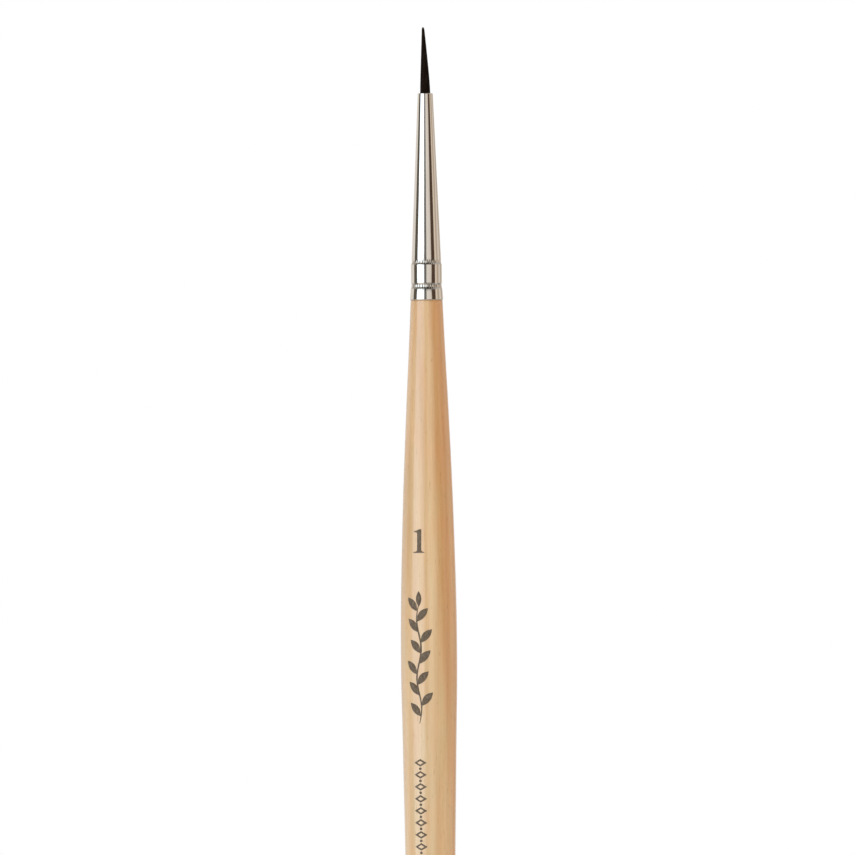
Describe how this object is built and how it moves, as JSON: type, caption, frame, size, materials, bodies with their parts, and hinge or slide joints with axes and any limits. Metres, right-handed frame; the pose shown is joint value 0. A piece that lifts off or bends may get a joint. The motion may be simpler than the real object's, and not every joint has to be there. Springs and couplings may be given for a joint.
{
  "type": "fine detail brush",
  "caption": "Fine detail brush: pointed hair tuft in a crimped metal ferrule on a turned wooden handle; the tuft bends and springs back.",
  "frame": {"origin": "the tail end's lowest point, on the brush's axis, where a brush stand or jar holds the brush with its hair up", "axes": "+Z along the brush from the tail end to the hair's point; -Y is the side with the size number; +X to the right of it"},
  "size_m": [0.0068, 0.0068, 0.18],
  "materials": {
    "lacquered_wood": "satin",
    "nickel_plate": "polished",
    "dark_hair": "satin",
    "waxed_thread": "matte",
    "cured_resin": "gloss",
    "cured_glue": "satin",
    "mark_ink": "matte"
  },
  "bodies": {
    "brush_body": {"handle": "lacquered_wood", "handle_glue": "cured_glue", "ferrule": "nickel_plate", "resin_plug": "cured_resin", "hair_root": "dark_hair", "binding_thread": "waxed_thread"},
    "tuft": {"hair_tuft": "dark_hair"}
  },
  "joints": [
    {"name": "tuft_bend", "type": "hinge", "parent": "brush_body", "child": "tuft", "pos_m": [0, 0, 0.17265], "axis": [0, 1, 0], "range_deg": [-50, 50], "stiffness_Nm_per_rad": 0.0001}
  ]
}
